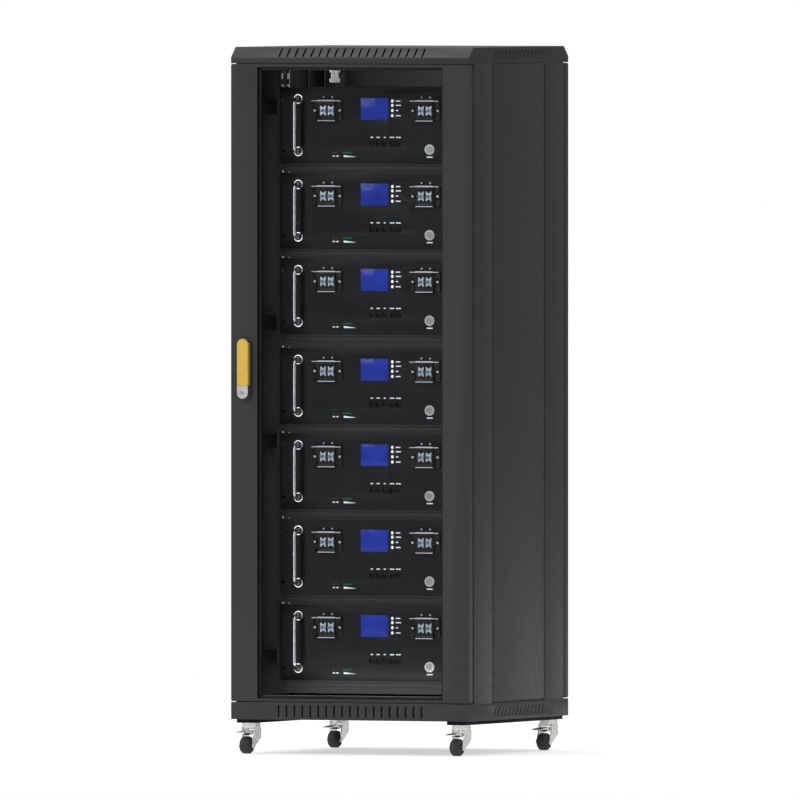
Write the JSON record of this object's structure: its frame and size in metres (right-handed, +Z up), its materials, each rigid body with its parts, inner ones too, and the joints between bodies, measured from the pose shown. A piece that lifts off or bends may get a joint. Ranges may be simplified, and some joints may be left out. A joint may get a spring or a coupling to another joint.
{
  "type": "battery pack",
  "caption": "Free-standing rack cabinet on braked casters with a glass front door, holding a stack of rack-mount lithium battery modules with screens, handles and terminals.",
  "frame": {"origin": "centre of the floor outline, brake pedals and rear lock included, on the floor", "axes": "+Z up; -Y is the front with the glass door; +X is to the right of someone who faces the front"},
  "size_m": [0.6, 0.6348, 1.643],
  "materials": {
    "cabinet_paint": "fine-textured powder coat, semi-matt dark grey",
    "frame_paint": "semi-matt powder coat",
    "module_paint": "fine-textured powder coat, black",
    "chrome_bar": "polished chrome",
    "black_plastic": "moulded black plastic",
    "zinc_hardware": "bright zinc plate",
    "zinc_caster": "zinc-plated pressed steel",
    "black_screw": "black zinc",
    "terminal_metal": "nickel plate with blue-passivated bolt heads",
    "switch_metal": "turned stainless steel",
    "lock_metal": "satin chrome",
    "display": "glossy lit blue display",
    "key_plastic": "white moulded keys",
    "cell_can": "aluminium can in blue film",
    "copper_bar": "bare copper",
    "circuit_board": "green solder mask",
    "lever_paint": "yellow enamel",
    "tinted_glass": "grey-tinted toughened glass",
    "wheel_rubber": "black rubber-like tyre on a plastic hub"
  },
  "bodies": {
    "cabinet": {"base_frame": "cabinet_paint", "caster_channels": "cabinet_paint", "corner_posts": "cabinet_paint", "cross_rails": "cabinet_paint", "roof_cover": "cabinet_paint", "side_panel_left": "cabinet_paint", "side_panel_right": "cabinet_paint", "mounting_rails": "frame_paint", "rail_brackets": "frame_paint", "hinge_pins": "black_screw", "module_shelves": "frame_paint", "module_cases": "module_paint", "module_lids": "module_paint", "front_panels": "module_paint", "module_handles": "chrome_bar", "terminal_housings": "black_plastic", "terminal_bolts": "terminal_metal", "display_windows": "display", "port_housings": "black_plastic", "switch_bezels": "switch_metal", "battery_cells": "cell_can", "cell_busbars": "copper_bar", "bms_boards": "circuit_board", "rack_screws": "black_screw", "cage_nuts": "zinc_hardware", "caster_stems": "zinc_caster"},
    "front_door": {"front_door_frame": "cabinet_paint", "front_door_glass": "tinted_glass", "lock_housing": "black_plastic", "lock_cylinder": "lock_metal"},
    "lock_spindle": {"lock_spindle": "lock_metal"},
    "lock_lever": {"lock_lever": "lever_paint"},
    "rear_door": {"rear_door": "cabinet_paint"},
    "rear_lock": {"rear_lock": "lock_metal"},
    "caster_fork_front_left": {"caster_fork_front_left": "zinc_caster"},
    "caster_wheel_front_left": {"caster_wheel_front_left": "wheel_rubber"},
    "caster_pedal_front_left": {"caster_pedal_front_left": "zinc_caster"},
    "caster_fork_front_right": {"caster_fork_front_right": "zinc_caster"},
    "caster_wheel_front_right": {"caster_wheel_front_right": "wheel_rubber"},
    "caster_pedal_front_right": {"caster_pedal_front_right": "zinc_caster"},
    "caster_fork_rear_left": {"caster_fork_rear_left": "zinc_caster"},
    "caster_wheel_rear_left": {"caster_wheel_rear_left": "wheel_rubber"},
    "caster_pedal_rear_left": {"caster_pedal_rear_left": "zinc_caster"},
    "caster_fork_rear_right": {"caster_fork_rear_right": "zinc_caster"},
    "caster_wheel_rear_right": {"caster_wheel_rear_right": "wheel_rubber"},
    "caster_pedal_rear_right": {"caster_pedal_rear_right": "zinc_caster"},
    "power_button_1": {"power_button_1": "switch_metal"},
    "keypad_1": {"keypad_1": "key_plastic"},
    "power_button_2": {"power_button_2": "switch_metal"},
    "keypad_2": {"keypad_2": "key_plastic"},
    "power_button_3": {"power_button_3": "switch_metal"},
    "keypad_3": {"keypad_3": "key_plastic"},
    "power_button_4": {"power_button_4": "switch_metal"},
    "keypad_4": {"keypad_4": "key_plastic"},
    "power_button_5": {"power_button_5": "switch_metal"},
    "keypad_5": {"keypad_5": "key_plastic"},
    "power_button_6": {"power_button_6": "switch_metal"},
    "keypad_6": {"keypad_6": "key_plastic"},
    "power_button_7": {"power_button_7": "switch_metal"},
    "keypad_7": {"keypad_7": "key_plastic"}
  },
  "joints": [
    {"name": "front_door_hinge", "type": "hinge", "parent": "cabinet", "child": "front_door", "pos_m": [0.29, -0.2754, 0.8625], "axis": [0, 0, 1], "range_deg": [0, 130]},
    {"name": "lock_turn", "type": "hinge", "parent": "front_door", "child": "lock_spindle", "pos_m": [-0.265, -0.2854, 0.951], "axis": [0, -1, 0], "range_deg": [0, 90]},
    {"name": "lever_swing", "type": "hinge", "parent": "lock_spindle", "child": "lock_lever", "pos_m": [-0.265, -0.2944, 0.951], "axis": [-1, 0, 0], "range_deg": [0, 25]},
    {"name": "rear_door_hinge", "type": "hinge", "parent": "cabinet", "child": "rear_door", "pos_m": [-0.29, 0.3046, 0.8625], "axis": [0, 0, 1], "range_deg": [0, 130]},
    {"name": "rear_lock_turn", "type": "hinge", "parent": "rear_door", "child": "rear_lock", "pos_m": [0.265, 0.3146, 0.895], "axis": [0, 1, 0], "range_deg": [0, 90]},
    {"name": "swivel_front_left", "type": "hinge", "parent": "cabinet", "child": "caster_fork_front_left", "pos_m": [-0.265, -0.2474, 0.0627], "axis": [0, 0, 1], "continuous": true},
    {"name": "roll_front_left", "type": "hinge", "parent": "caster_fork_front_left", "child": "caster_wheel_front_left", "pos_m": [-0.265, -0.2734, 0.02], "axis": [1, 0, 0], "continuous": true},
    {"name": "brake_front_left", "type": "hinge", "parent": "caster_fork_front_left", "child": "caster_pedal_front_left", "pos_m": [-0.265, -0.2634, 0.05], "axis": [1, 0, 0], "range_deg": [0, 10]},
    {"name": "swivel_front_right", "type": "hinge", "parent": "cabinet", "child": "caster_fork_front_right", "pos_m": [0.265, -0.2474, 0.0627], "axis": [0, 0, 1], "continuous": true},
    {"name": "roll_front_right", "type": "hinge", "parent": "caster_fork_front_right", "child": "caster_wheel_front_right", "pos_m": [0.265, -0.2734, 0.02], "axis": [1, 0, 0], "continuous": true},
    {"name": "brake_front_right", "type": "hinge", "parent": "caster_fork_front_right", "child": "caster_pedal_front_right", "pos_m": [0.265, -0.2634, 0.05], "axis": [1, 0, 0], "range_deg": [0, 10]},
    {"name": "swivel_rear_left", "type": "hinge", "parent": "cabinet", "child": "caster_fork_rear_left", "pos_m": [-0.265, 0.2766, 0.0627], "axis": [0, 0, 1], "continuous": true},
    {"name": "roll_rear_left", "type": "hinge", "parent": "caster_fork_rear_left", "child": "caster_wheel_rear_left", "pos_m": [-0.265, 0.2506, 0.02], "axis": [1, 0, 0], "continuous": true},
    {"name": "brake_rear_left", "type": "hinge", "parent": "caster_fork_rear_left", "child": "caster_pedal_rear_left", "pos_m": [-0.265, 0.2606, 0.05], "axis": [1, 0, 0], "range_deg": [0, 10]},
    {"name": "swivel_rear_right", "type": "hinge", "parent": "cabinet", "child": "caster_fork_rear_right", "pos_m": [0.265, 0.2766, 0.0627], "axis": [0, 0, 1], "continuous": true},
    {"name": "roll_rear_right", "type": "hinge", "parent": "caster_fork_rear_right", "child": "caster_wheel_rear_right", "pos_m": [0.265, 0.2506, 0.02], "axis": [1, 0, 0], "continuous": true},
    {"name": "brake_rear_right", "type": "hinge", "parent": "caster_fork_rear_right", "child": "caster_pedal_rear_right", "pos_m": [0.265, 0.2606, 0.05], "axis": [1, 0, 0], "range_deg": [0, 10]},
    {"name": "button_press_1", "type": "slide", "parent": "cabinet", "child": "power_button_1", "axis": [0, 1, 0], "range_m": [0, 0.002], "stiffness_N_per_m": 400, "springref_m": -0.002},
    {"name": "key_press_1", "type": "slide", "parent": "cabinet", "child": "keypad_1", "axis": [0, 1, 0], "range_m": [0, 0.0015], "stiffness_N_per_m": 400, "springref_m": -0.002},
    {"name": "button_press_2", "type": "slide", "parent": "cabinet", "child": "power_button_2", "axis": [0, 1, 0], "range_m": [0, 0.002], "stiffness_N_per_m": 400, "springref_m": -0.002},
    {"name": "key_press_2", "type": "slide", "parent": "cabinet", "child": "keypad_2", "axis": [0, 1, 0], "range_m": [0, 0.0015], "stiffness_N_per_m": 400, "springref_m": -0.002},
    {"name": "button_press_3", "type": "slide", "parent": "cabinet", "child": "power_button_3", "axis": [0, 1, 0], "range_m": [0, 0.002], "stiffness_N_per_m": 400, "springref_m": -0.002},
    {"name": "key_press_3", "type": "slide", "parent": "cabinet", "child": "keypad_3", "axis": [0, 1, 0], "range_m": [0, 0.0015], "stiffness_N_per_m": 400, "springref_m": -0.002},
    {"name": "button_press_4", "type": "slide", "parent": "cabinet", "child": "power_button_4", "axis": [0, 1, 0], "range_m": [0, 0.002], "stiffness_N_per_m": 400, "springref_m": -0.002},
    {"name": "key_press_4", "type": "slide", "parent": "cabinet", "child": "keypad_4", "axis": [0, 1, 0], "range_m": [0, 0.0015], "stiffness_N_per_m": 400, "springref_m": -0.002},
    {"name": "button_press_5", "type": "slide", "parent": "cabinet", "child": "power_button_5", "axis": [0, 1, 0], "range_m": [0, 0.002], "stiffness_N_per_m": 400, "springref_m": -0.002},
    {"name": "key_press_5", "type": "slide", "parent": "cabinet", "child": "keypad_5", "axis": [0, 1, 0], "range_m": [0, 0.0015], "stiffness_N_per_m": 400, "springref_m": -0.002},
    {"name": "button_press_6", "type": "slide", "parent": "cabinet", "child": "power_button_6", "axis": [0, 1, 0], "range_m": [0, 0.002], "stiffness_N_per_m": 400, "springref_m": -0.002},
    {"name": "key_press_6", "type": "slide", "parent": "cabinet", "child": "keypad_6", "axis": [0, 1, 0], "range_m": [0, 0.0015], "stiffness_N_per_m": 400, "springref_m": -0.002},
    {"name": "button_press_7", "type": "slide", "parent": "cabinet", "child": "power_button_7", "axis": [0, 1, 0], "range_m": [0, 0.002], "stiffness_N_per_m": 400, "springref_m": -0.002},
    {"name": "key_press_7", "type": "slide", "parent": "cabinet", "child": "keypad_7", "axis": [0, 1, 0], "range_m": [0, 0.0015], "stiffness_N_per_m": 400, "springref_m": -0.002}
  ]
}
